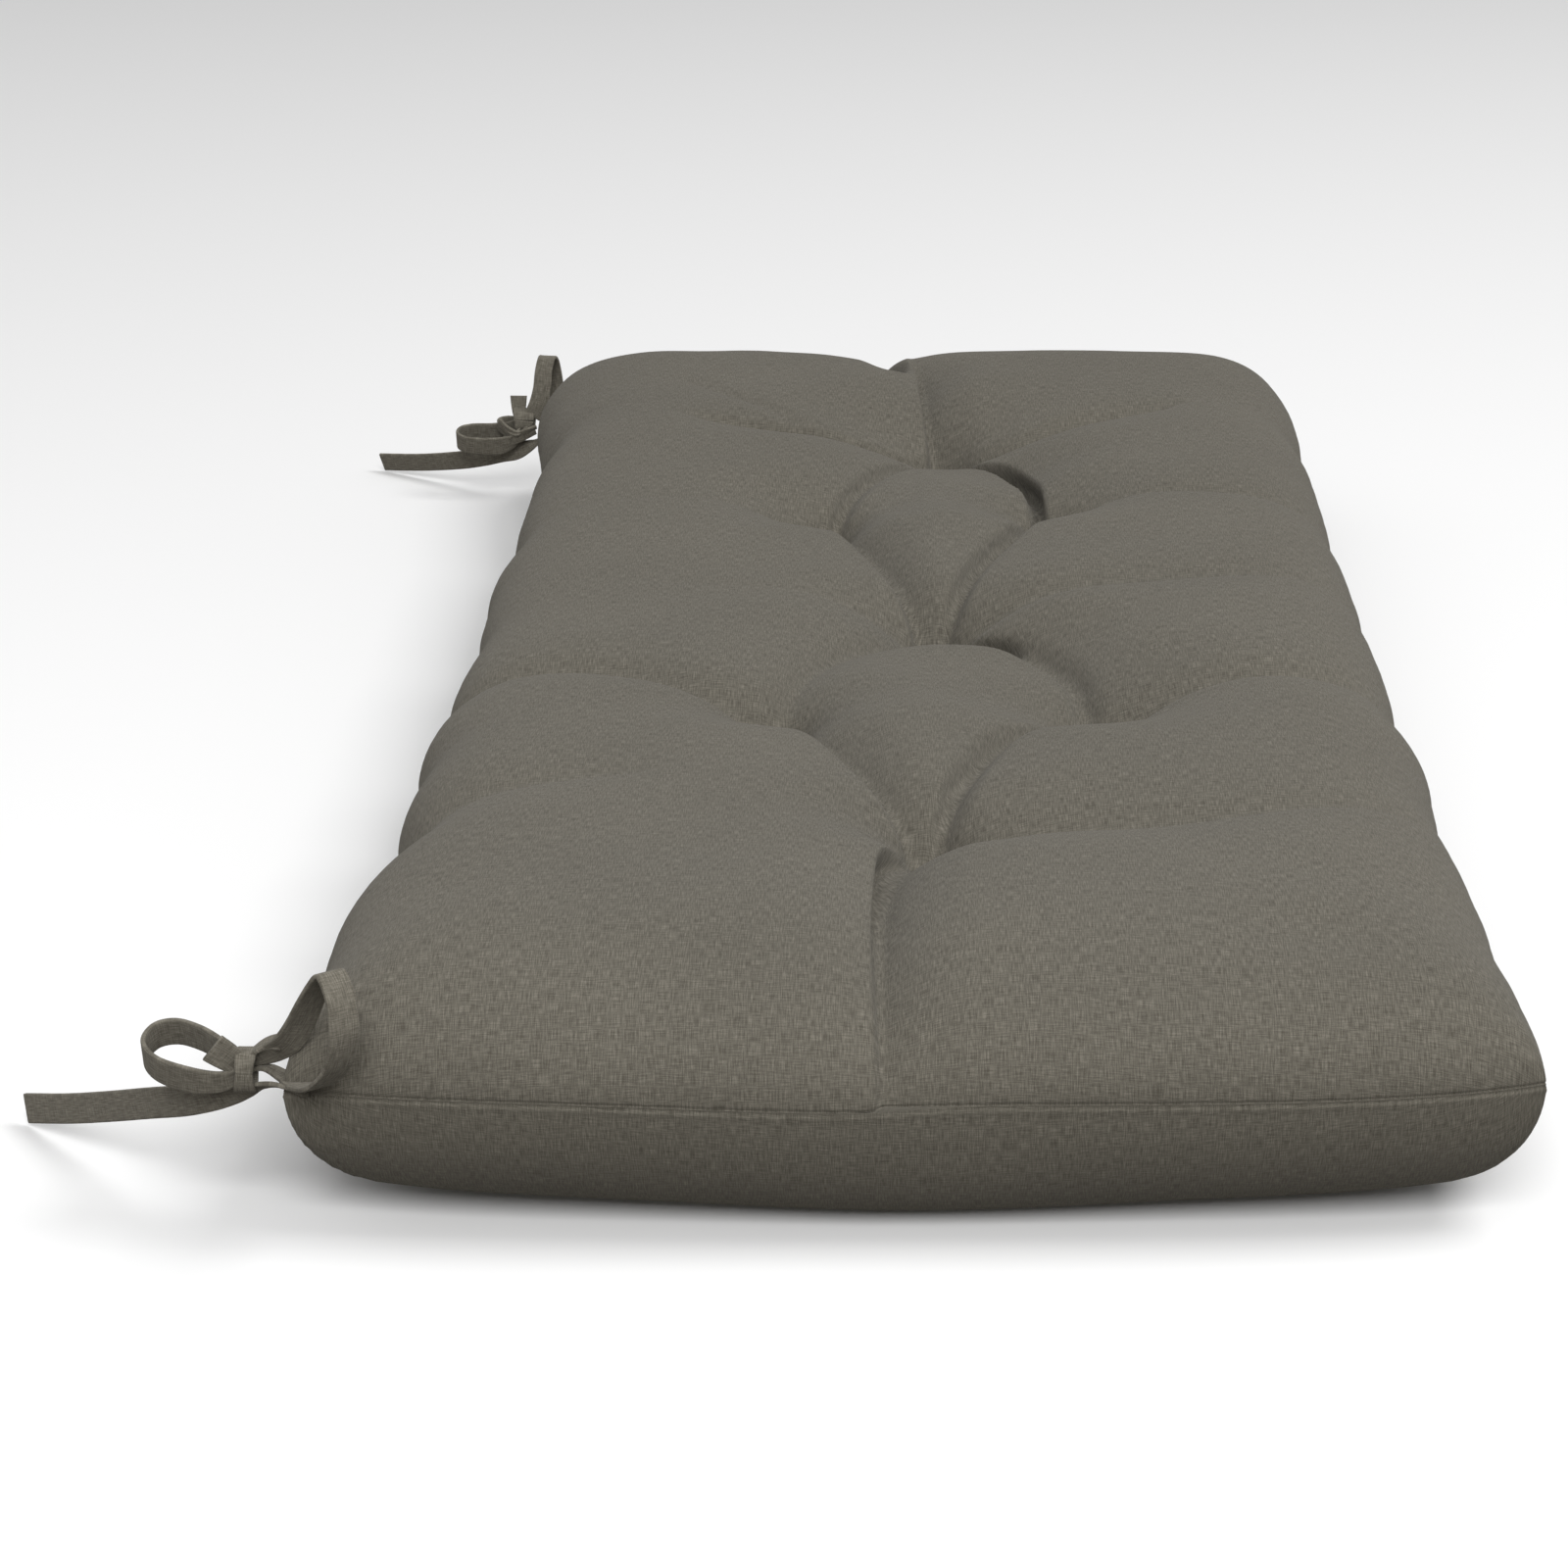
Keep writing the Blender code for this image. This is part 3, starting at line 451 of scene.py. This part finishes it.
def wovenCloth(name, brightness=1.0, seed=0.0):
    # heathered plain weave on the piece's own cloth metres: threads over and under, slubs both ways
    paint = Nodes(bpy.data.materials.new(name))
    place = paint.node("UVMap", dict(uv_map="cloth"))[0]

    def noise(kind):
        # flat noise in cells of the kind's own size, stretched along its yarn
        across, along, start, detail, rough = weave[kind]
        stretched = paint.node("Mapping", None, dict(Vector=place, Location=(start, seed + start, seed),
                                                     Scale=(1 / across, 1 / along, 1)))[0]
        return paint.node("TexNoise", dict(noise_dimensions="2D"),
                          dict(Vector=stretched, Scale=1.0, Detail=detail, Roughness=rough))[0]

    def swing(value, by, middle):
        # by times the value, moved so that the value's middle gives 1
        return value * by + (1 - by * middle)

    warpSlub, weftSlub = noise("warpSlub"), noise("weftSlub")
    speckle, fibre, patch = noise("speckle"), noise("fibre"), noise("patch")
    across, along = paint.node("SeparateXYZ", None, dict(Vector=place))[:2]
    turnX = across * (2 * math.pi / weave["threadPitch"])
    turnY = along * (2 * math.pi / weave["threadPitch"])
    # the warp is over where sin x * sin y is positive; each thread is |cos| across itself
    checks = turnX.math("SINE") * turnY.math("SINE") * weave["overSharpness"]
    over = checks.math("TANH") * 0.5 + 0.5
    warp, weft = turnX.math("COSINE").math("ABSOLUTE"), turnY.math("COSINE").math("ABSOLUTE")
    thread = over * warp + (1 - over) * weft

    warpShare, weftShare, speckleShare = weave["heatherShares"]
    heather = warpSlub * warpShare + weftSlub * weftShare + speckle * speckleShare
    yarn = paint.node("ValToRGB", dict(stops=weave["yarns"]), (heather,))[0]
    # random tone of patches and fibres, times painted shade across each thread that follows the weave's
    # relief
    shade = (swing(patch, weave["patchSwing"], 1 / 2) * swing(fibre, weave["fibreSwing"], 1 / 2)
             * swing(thread, weave["threadShadeSwing"], 2 / 3) * brightness)
    grey = paint.node("CombineColor", None, (shade, shade, shade))[0]
    base = paint.node("Mix", dict(data_type="RGBA", blend_type="MULTIPLY"), {0: 1.0, 6: yarn, 7: grey})[2]

    slubs = warpSlub + weftSlub * weave["weftHeightShare"]
    height = thread * weave["threadHeight"] + fibre * weave["fibreHeight"] + slubs * weave["slubHeight"]
    bump = paint.node("Bump", None, dict(Height=height, Strength=weave["bump"], Distance=1.0))[0]
    shader = paint.node("BsdfPrincipled", None, {
        "Base Color": base, "Roughness": weave["roughness"], "Sheen Weight": weave["sheen"],
        "Sheen Roughness": weave["sheenRoughness"], "Sheen Tint": weave["sheenTint"],
        "Specular IOR Level": weave["specular"], "Normal": bump})[0]
    paint.node("OutputMaterial", None, dict(Surface=shader))
    return paint.owner


cushionCloth = wovenCloth("taupeWeave", brightness=0.985)
tapeCloth = wovenCloth("taupeTape", brightness=1.25, seed=4.0)
print("cloth woven")

cushion = dict(
    # cells across and along, and how much closer the lines are at the seam and at the middle
    across=208, along=426, seamCrowd=5.0, seamCrowdReach=4 * mm, middleCrowd=2.4, middleReach=0.085,
    edgeLines=14, rollLines=44, rollEvery=2, flatEvery=10,        # the lines that the underside keeps
    groove=0.85 * mm, grooveAt=0.5 * mm, grooveReach=0.36 * mm,   # a fine line on each side of the seam
    shoulder=0.35 * mm, shoulderAt=2.2 * mm, shoulderReach=1.0 * mm,
    pucker=0.35 * mm, puckerCell=16 * mm, puckerReach=22 * mm, puckerStart=4 * mm,
    puckerSlant=(1.3, 0.6), puckerSeed=11,
    dent=0.9 * mm, dentCell=80 * mm, dentSeed=3,
    ripple=0.25 * mm, rippleCell=26 * mm, rippleSeed=5,
    softStart=30 * mm,                    # the dents and ripples reach their full depth this far in
    creaseAtSeam=0.35, valleyRise=0.8,    # a crease's share left at the seam, how soon valleys fade there
    lip=0.2 * mm, flatFrom=12 * mm,       # the underside starts a lip below the seam, plain near the floor
    underCloth=0.9,                       # moves the underside's weave away from the top's
)


def sectionLines(cells, half, roll, middleCrowd):
    # lines from -1 to 1, even along the rounded section, but closer at the seam and at the middle
    onRoll, onFlat = 600, 400
    rise = np.sin(np.linspace(0, math.pi / 2, onRoll))
    inward = roll * (1 - (1 - rise ** 2) ** (1 / form["rollFullness"]))
    inward = np.append(inward, np.linspace(roll, half, onFlat))
    rise = np.append(rise, np.ones(onFlat)) * (form["crown"] - form["seamHeight"])
    walked = np.append(0, np.cumsum(np.hypot(np.diff(inward), np.diff(rise))))
    toMiddle = (walked[-1] - walked) / cushion["middleReach"]
    density = (1 + cushion["seamCrowd"] * np.exp(-walked / cushion["seamCrowdReach"])
               + middleCrowd * np.exp(-toMiddle ** 2))
    share = np.append(0, np.cumsum(np.diff(walked) * (density[1:] + density[:-1]) / 2))
    lines = np.interp(np.linspace(0, share[-1], cells // 2 + 1), share, inward) / half
    return np.concatenate([lines[:-1] - 1, (1 - lines)[::-1]])


def seamRelief(walk, x, y, side):
    # the stitching draws in a fine line on each side of the seam, the lower cloth (side 1) stands as a
    # soft shoulder, both bell-shaped, and puckers fade away from them
    groove = -cushion["groove"] * np.exp(-((walk - cushion["grooveAt"]) / cushion["grooveReach"]) ** 2)
    beside = (walk - cushion["shoulderAt"]) / cushion["shoulderReach"]
    shoulder = side * cushion["shoulder"] * np.exp(-beside ** 2)
    one, other = cushion["puckerSlant"]
    rough = softNoise(x * one + y, y - x * other, cushion["puckerCell"], cushion["puckerSeed"] + side)
    nearSeam = np.exp(-walk / cushion["puckerReach"]) * np.clip(walk / cushion["puckerStart"], 0, 1)
    return groove + shoulder + cushion["pucker"] * rough * nearSeam


def topSurface(u, v):
    # the smooth top, lowered by the valleys and moved along its normals by creases, dents and seam lines
    smooth, rise = topAt(u, v)
    x, y = smooth[..., 0], smooth[..., 1]
    narrow, broad, lean = foldsAt(x, y)
    top = smooth - np.stack([0 * x, 0 * x, broad * rise ** cushion["valleyRise"]], axis=-1)
    walk = seamWalk(smooth)
    soft = (cushion["dent"] * softNoise(x, y, cushion["dentCell"], cushion["dentSeed"])
            + cushion["ripple"] * softNoise(x, y, cushion["rippleCell"], cushion["rippleSeed"]))
    creased = narrow * (cushion["creaseAtSeam"] + (1 - cushion["creaseAtSeam"]) * rise)
    relief = seamRelief(walk, x, y, 0) + soft * np.clip(walk / cushion["softStart"], 0, 1) - creased
    top = top + gridNormals(top) * relief[..., None]
    top[..., :2] += lean
    return top, clothMetres(smooth)


def underSurface(u, v):
    # the rounded underside with its seam lines, a lip below the seam at its rim, nothing below the floor
    under = underAt(u, v)
    walk = seamWalk(under)
    cloth = clothMetres(under) + np.array([cushion["underCloth"], 0.0])
    aboveFloor = np.clip(under[..., 2] / cushion["flatFrom"], 0, 1)
    lift = seamRelief(walk, under[..., 0], under[..., 1], 1) * aboveFloor
    under = under - gridNormals(under) * lift[..., None]
    under[..., 2] = np.maximum(under[..., 2] - cushion["lip"] * np.exp(-walk / cushion["lip"]), 0)
    return under, cloth


def keptLines(count):
    # every line beside the seam, every second one down the roll and a few across the flat
    edge, roll = cushion["edgeLines"], cushion["rollLines"]
    side = np.concatenate([np.arange(edge), np.arange(edge, roll, cushion["rollEvery"])])
    flat = np.arange(roll, count - roll, cushion["flatEvery"])
    return np.unique(np.concatenate([side, flat, count - 1 - side]))


def rimStrip(topIndex, kept, underIndex):
    # triangles from each edge of the top's border down to the underside's, and from each of its edges up
    outer, isKept, inner = rimLoop(topIndex), rimLoop(kept), rimLoop(underIndex)
    owner = np.cumsum(isKept) - 1
    down = np.stack([outer, inner[owner], np.roll(outer, -1)], axis=1)
    up = np.stack([np.roll(outer[isKept], -1), inner, np.roll(inner, -1)], axis=1)
    return down.tolist() + up.tolist()


def makeCushion():
    # the top and the underside are two grids, joined round the rim by a hair-thin strip of triangles
    acrossLines = sectionLines(cushion["across"], halfWidth, form["sideRoll"], cushion["middleCrowd"])
    alongLines = sectionLines(cushion["along"], halfLength, form["endRoll"], 0)
    u, v = np.meshgrid(acrossLines, alongLines, indexing="ij")
    columns, rows = u.shape
    keep = np.ix_(keptLines(columns), keptLines(rows))
    top, topCloth = topSurface(u, v)
    under, underCloth = underSurface(u[keep], v[keep])

    kept = np.zeros(u.shape, bool)
    kept[keep] = True
    topIndex = np.arange(u.size).reshape(u.shape)
    underIndex = u.size + np.arange(under[..., 0].size).reshape(under.shape[:2])
    faces = gridFaces(columns, rows) + gridFaces(*under.shape[:2], start=u.size, flip=True)
    faces += rimStrip(topIndex, kept, underIndex)
    points = np.vstack([top.reshape(-1, 3), under.reshape(-1, 3)])
    uv = np.vstack([topCloth.reshape(-1, 2), underCloth.reshape(-1, 2)])
    piece = newMesh("bench_cushion_body", points, faces, uv, cushionCloth)
    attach(piece, "root")
    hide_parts("cushion")
    print("cushion faces", len(faces))


makeCushion()
print("cushion made")

# The ties are folded tapes. Each row of a tape is a stop on its route: x, y, z of its middle in mm,
# heading and pitch of its width in degrees, and its width in mm.
tie = dict(thickness=1.8 * mm, step=0.9 * mm, fineSteps=800, edgePoints=5, facePoints=9,
           splitDepth=0.35, splitReach=0.35, clothApart=0.03)

nearBow = dict(
    ring=(
        (-237.0, -558.0, 61.4, 51, 0, 4), (-231.0, -558.8, 62.4, 51, 0, 5),
        (-224.8, -562.1, 60.6, 51, 0, 7), (-219.0, -567.6, 59.8, 51, 0, 10),
        (-211.9, -576.2, 62.0, 51, 0, 12), (-206.5, -583.1, 67.0, 51, 0, 12),
        (-201.2, -589.7, 75.0, 51, 0, 12), (-198.1, -593.6, 85.0, 51, 0, 12),
        (-197.5, -594.4, 93.0, 51, 0, 12), (-198.3, -593.3, 101.0, 51, 0, 12),
        (-200.6, -590.5, 107.0, 51, 0, 12), (-202.9, -587.6, 109.0, 51, 0, 12),
        (-206.2, -583.5, 104.5, 51, 0, 12), (-211.1, -577.2, 95.5, 51, -5, 12),
        (-216.6, -571.4, 84.0, 51, -22, 12), (-221.8, -567.2, 75.4, 51, -40, 11.5),
        (-227.2, -562.6, 70.4, 51, -50, 10), (-232.5, -559.0, 67.0, 51, -58, 8),
        (-237.5, -557.8, 65.2, 51, -62, 6),
    ),
    loop=(
        (-238.5, -557.5, 61.5, 180, 74, 8), (-243.5, -553.8, 63.0, 180, 73, 10),
        (-249.5, -548.5, 65.8, 180, 72, 12), (-258.0, -541.5, 67.5, 180, 72, 12),
        (-267.0, -536.8, 68.0, 180, 72, 12), (-274.5, -538.5, 66.8, 180, 72, 12),
        (-277.3, -546.0, 63.5, 180, 72, 12), (-271.0, -555.5, 60.8, 180, 72, 12),
        (-258.0, -561.5, 58.8, 180, 72, 12), (-247.5, -562.3, 58.5, 180, 75, 9),
        (-240.5, -559.5, 60.0, 180, 80, 7),
    ),
    freeEnd=(
        (-240.6, -560.0, 63.2, 90, 60, 8), (-244.6, -562.4, 68.0, 90, 55, 11),
        (-249.4, -563.6, 72.0, 90, 52, 12),
    ),
    fold=(
        (-238.0, -559.5, 66.8, 0, 0, 5), (-233.5, -560.4, 70.8, 0, 10, 6),
        (-229.2, -561.0, 73.0, 0, 20, 7), (-224.0, -563.5, 74.2, 0, 30, 8),
    ),
    knot=(
        (-238.6, -564.2, 62.0, 90, 0, 6.6), (-238.3, -563.8, 66.0, 90, 0, 7.4),
        (-238.0, -561.2, 68.8, 90, 0, 8.2), (-238.0, -556.8, 69.0, 90, 0, 8),
        (-238.4, -554.0, 65.0, 90, 0, 8), (-239.0, -553.6, 59.5, 90, 0, 8),
        (-239.0, -555.6, 55.6, 90, 0, 8), (-239.0, -560.4, 54.6, 90, 0, 8.4),
        (-238.8, -563.6, 57.6, 90, 0, 7.6), (-238.6, -564.3, 62.4, 90, 0, 6.6),
    ),
)
nearTail = dict(
    tail=(
        (-215.5, -570.5, 56.8, 0, 165, 7), (-221.0, -568.0, 58.0, 0, 160, 7),
        (-227.5, -564.0, 58.0, 0, 155, 6.5), (-233.5, -560.6, 56.4, 0, 148, 7),
        (-239.0, -558.0, 53.6, 0, 136, 9), (-245.5, -554.5, 51.2, 0, 118, 11),
        (-254.5, -549.0, 47.6, 0, 98, 12), (-266.0, -539.5, 42.0, 0, 90, 12),
        (-281.0, -524.0, 34.8, 0, 90, 12), (-300.0, -503.0, 25.0, 0, 90, 12),
        (-320.0, -482.5, 15.8, 0, 88, 12), (-341.0, -461.0, 7.2, 0, 86, 12),
    ),
)
farBow = dict(
    ring=(
        (-223.0, 568.0, 57.5, 100, 0, 9), (-226.5, 571.0, 67.0, 100, 0, 11),
        (-227.8, 568.5, 79.0, 100, 0, 11), (-229.0, 564.0, 87.5, 100, 0, 11),
        (-230.6, 560.0, 88.8, 100, 0, 11), (-232.6, 557.5, 81.0, 100, 0, 11),
        (-233.8, 556.5, 70.0, 100, 0, 11.5), (-236.4, 556.8, 60.0, 98, 0, 12),
        (-240.5, 558.5, 52.5, 94, 0, 11),
    ),
    loop=(
        (-245.0, 563.5, 48.5, 180, 72, 8), (-254.0, 568.0, 42.7, 180, 72, 11),
        (-266.0, 571.0, 39.8, 180, 72, 13), (-278.0, 572.0, 39.4, 180, 72, 13),
        (-285.5, 570.0, 38.8, 180, 72, 12), (-287.5, 564.5, 36.6, 180, 72, 12),
        (-282.0, 559.0, 34.8, 180, 72, 12), (-271.0, 556.5, 34.2, 180, 72, 12),
        (-260.0, 556.0, 34.8, 180, 72, 12), (-251.5, 557.0, 38.5, 180, 65, 9),
        (-246.5, 560.0, 45.0, 180, 60, 8),
    ),
    freeEnd=(
        (-248.5, 562.0, 50.5, 110, 0, 8), (-249.0, 562.5, 57.0, 115, -8, 10),
        (-249.0, 564.0, 64.5, 120, -12, 12),
    ),
    fold=(
        (-243.0, 558.5, 46.0, 180, 30, 6), (-250.0, 555.5, 40.5, 180, 40, 7),
        (-258.0, 559.5, 43.0, 180, 60, 7), (-262.0, 565.0, 46.5, 180, 75, 7),
        (-257.0, 569.0, 47.5, 180, 75, 7), (-248.5, 566.0, 48.0, 180, 75, 6),
    ),
    knot=(
        (-245.5, 556.4, 50.5, 90, 0, 12.5), (-245.5, 557.5, 54.6, 90, -3, 13),
        (-245.5, 562.0, 56.4, 90, -3, 13), (-245.5, 566.4, 53.6, 90, 0, 13),
        (-245.5, 566.6, 47.6, 90, 5, 13), (-245.8, 562.5, 43.6, 90, 8, 12),
        (-246.0, 557.6, 45.6, 90, 6, 11), (-245.5, 556.3, 50.6, 90, 0, 12.5),
    ),
    strand=(
        (-238.0, 556.8, 46.5, 180, 40, 4), (-243.5, 554.8, 44.2, 180, 55, 5),
        (-249.5, 554.6, 42.6, 180, 60, 5), (-256.0, 556.0, 45.2, 180, 60, 6),
        (-261.0, 559.0, 49.0, 180, 70, 7),
    ),
    strandBelow=(
        (-238.5, 558.0, 43.2, 180, 60, 4), (-244.0, 556.5, 41.0, 180, 65, 5),
        (-250.5, 556.0, 38.6, 180, 70, 6), (-257.5, 557.0, 37.0, 180, 72, 8),
    ),
)
farTail = dict(
    tail=(
        (-221.5, 564.0, 55.5, 0, 0, 7), (-229.0, 562.5, 45.0, 0, 20, 5), (-236.5, 562.0, 37.0, 0, 40, 4),
        (-243.5, 562.8, 33.0, 0, 70, 8), (-252.0, 566.0, 29.5, 0, 88, 12),
        (-262.0, 571.5, 26.5, 0, 92, 12), (-274.0, 579.5, 22.2, 0, 98, 12),
        (-290.0, 591.0, 17.4, 0, 105, 12), (-316.0, 611.0, 11.4, 0, 110, 12),
        (-344.0, 633.0, 6.6, 0, 110, 12),
    ),
)


def tapeRoute(stops):
    # even steps along the curve: the place, the way along, the way across and the width at each
    heading, pitch = np.radians([stop[3] for stop in stops]), np.radians([stop[4] for stop in stops])
    places = np.array([stop[:3] for stop in stops]) * mm
    level = np.cos(pitch)
    across = np.stack([level * np.sin(heading), level * np.cos(heading), np.sin(pitch)], axis=1)
    rows = np.hstack([places, across, np.array([[stop[5] * mm] for stop in stops])])
    fine = smoothRows(rows, np.linspace(0, len(rows) - 1, tie["fineSteps"]))
    walked = np.concatenate([[0], np.cumsum(np.linalg.norm(np.diff(fine[:, :3], axis=0), axis=1))])
    evenly = np.linspace(0, walked[-1], max(4, round(walked[-1] / tie["step"])) + 1)
    even = np.stack([np.interp(evenly, walked, column) for column in fine.T], axis=1)
    along = np.gradient(even[:, :3], axis=0)
    along /= np.linalg.norm(along, axis=1, keepdims=True)
    wide = even[:, 3:6] - along * np.sum(even[:, 3:6] * along, axis=1, keepdims=True)
    wide /= np.linalg.norm(wide, axis=1, keepdims=True)
    return even[:, :3], np.cross(along, wide), wide, even[:, 6:7], evenly


def tapeSection():
    # a thin rectangle with rounded edges that are split down their middle, as two folded layers are
    edge = np.linspace(-math.pi / 2, math.pi / 2, tie["edgePoints"] + 2)
    split = 1 - tie["splitDepth"] * np.exp(-(edge / tie["splitReach"]) ** 2)
    face = np.linspace(-1, 1, tie["facePoints"])[1:-1]
    flat, full = np.ones_like(face), np.ones_like(edge)
    across = np.concatenate([full, -face, -full, face])
    bulge = np.concatenate([np.cos(edge) * split, 0 * flat, -np.cos(edge) * split, 0 * flat])
    lift = np.concatenate([np.sin(edge), flat, -np.sin(edge), -flat])
    return across, bulge, lift


def tapeMesh(stops, start):
    # the section carried along the route, closed at both ends by a flat face; corners count from start
    places, thick, wide, widths, walked = tapeRoute(stops)
    across, bulge, lift = tapeSection()
    half = tie["thickness"] / 2
    side = across[None, :] * (widths / 2 - half) + bulge[None, :] * half
    points = (places[:, None] + wide[:, None] * side[..., None]
              + thick[:, None] * (lift * half)[None, :, None])
    rings, around = points.shape[:2]
    index = start + np.arange(rings * around).reshape(rings, around)
    after = np.roll(index, -1, axis=1)
    faces = np.stack([index[:-1], after[:-1], after[1:], index[1:]], axis=-1).reshape(-1, 4).tolist()
    faces += [index[0][::-1].tolist(), index[-1].tolist()]
    uv = np.stack([side + 0 * walked[:, None], walked[:, None] + 0 * side], axis=-1)
    return points.reshape(-1, 3), faces, uv.reshape(-1, 2), walked[-1]


def makeTie(name, tapes, node):
    # all the tapes of one node in one mesh, each with a stretch of the weave to itself
    points, faces, uv, length, count = [], [], [], 0, 0
    for stops in tapes.values():
        place, ring, cloth, run = tapeMesh(stops, count)
        points.append(place)
        uv.append(cloth + np.array([tie["clothApart"] * len(uv), 0]))
        faces += ring
        count += len(place)
        length += run
    piece = newMesh(name, np.vstack(points), faces, np.vstack(uv), tapeCloth)
    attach(piece, "root")
    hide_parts(node)
    print(name, "tape length", round(length, 4))


makeTie("near_tie_bow", nearBow, "tie_near_ring")
makeTie("near_tie_tail", nearTail, "tie_near_tail")
makeTie("far_tie_bow", farBow, "tie_far_ring")
makeTie("far_tie_tail", farTail, "tie_far_tail")
print("ties made")

studio = dict(
    floorReach=30, floorColour=(0.94, 0.94, 0.94, 1), floorRoughness=0.9, floorSpecular=0.1,
    skyStrength=0.42, groundStrength=0.10, fade=(-0.60, 0.08),    # the light fades between these heights
    groundTint=(1.0, 0.95, 0.85, 1), skyTint=(1, 1, 1, 1), skyTintFrom=0.1,
    aim=(0, 0, 0.05),
    # place, size and power of each soft light
    lights=dict(key=((3.0, -0.6, 4.6), 2.6, 125), fill=((0.2, -4.5, 3.4), 2.6, 208)),
)


def makeFloor():
    reach = studio["floorReach"]
    mesh = bpy.data.meshes.new("floor")
    mesh.from_pydata([(-reach, -reach, 0), (reach, -reach, 0), (reach, reach, 0), (-reach, reach, 0)],
                     [], [(0, 1, 2, 3)])
    floor = bpy.data.objects.new("floor", mesh)
    paint = Nodes(bpy.data.materials.new("paleFloor"))
    shader = paint.node("BsdfPrincipled", None, {
        "Base Color": studio["floorColour"], "Roughness": studio["floorRoughness"],
        "Specular IOR Level": studio["floorSpecular"]})[0]
    paint.node("OutputMaterial", None, dict(Surface=shader))
    mesh.materials.append(paint.owner)
    scene.collection.objects.link(floor)
    floor.visible_diffuse = False       # the world's dim lower half lights the underside instead


def softBox(name, place, size, power):
    # a square lamp at its place, turned towards the aim
    data = bpy.data.lights.new(name, "AREA")
    data.shape = "SQUARE"
    data.size = size
    data.energy = power
    light = bpy.data.objects.new(name, data)
    light.location = place
    x, y, z = np.array(place) - np.array(studio["aim"])
    light.rotation_euler = (math.atan2(math.hypot(x, y), z), 0, math.atan2(x, -y))
    scene.collection.objects.link(light)


def makeWorld():
    # white from above and dim from below, softly parted at the horizon
    sky = Nodes(bpy.data.worlds.new("studio"))
    direction = sky.node("TexCoord")[0]
    height = sky.node("SeparateXYZ", None, dict(Vector=direction))[2]
    low, high = studio["fade"]
    strength = sky.node("MapRange", None, {
        "Value": height, "From Min": low, "From Max": high,
        "To Min": studio["groundStrength"], "To Max": studio["skyStrength"]})[0]
    stops = ((0, studio["groundTint"]), (studio["skyTintFrom"], studio["skyTint"]))
    tint = sky.node("ValToRGB", dict(stops=stops), (height,))[0]
    light = sky.node("Background", None, dict(Color=tint, Strength=strength))[0]
    sky.node("OutputWorld", None, dict(Surface=light))
    scene.world = sky.owner


makeFloor()
for name, (place, size, power) in studio["lights"].items():
    softBox(name, place, size, power)
makeWorld()
scene.view_settings.view_transform = "Standard"
print("studio lit")
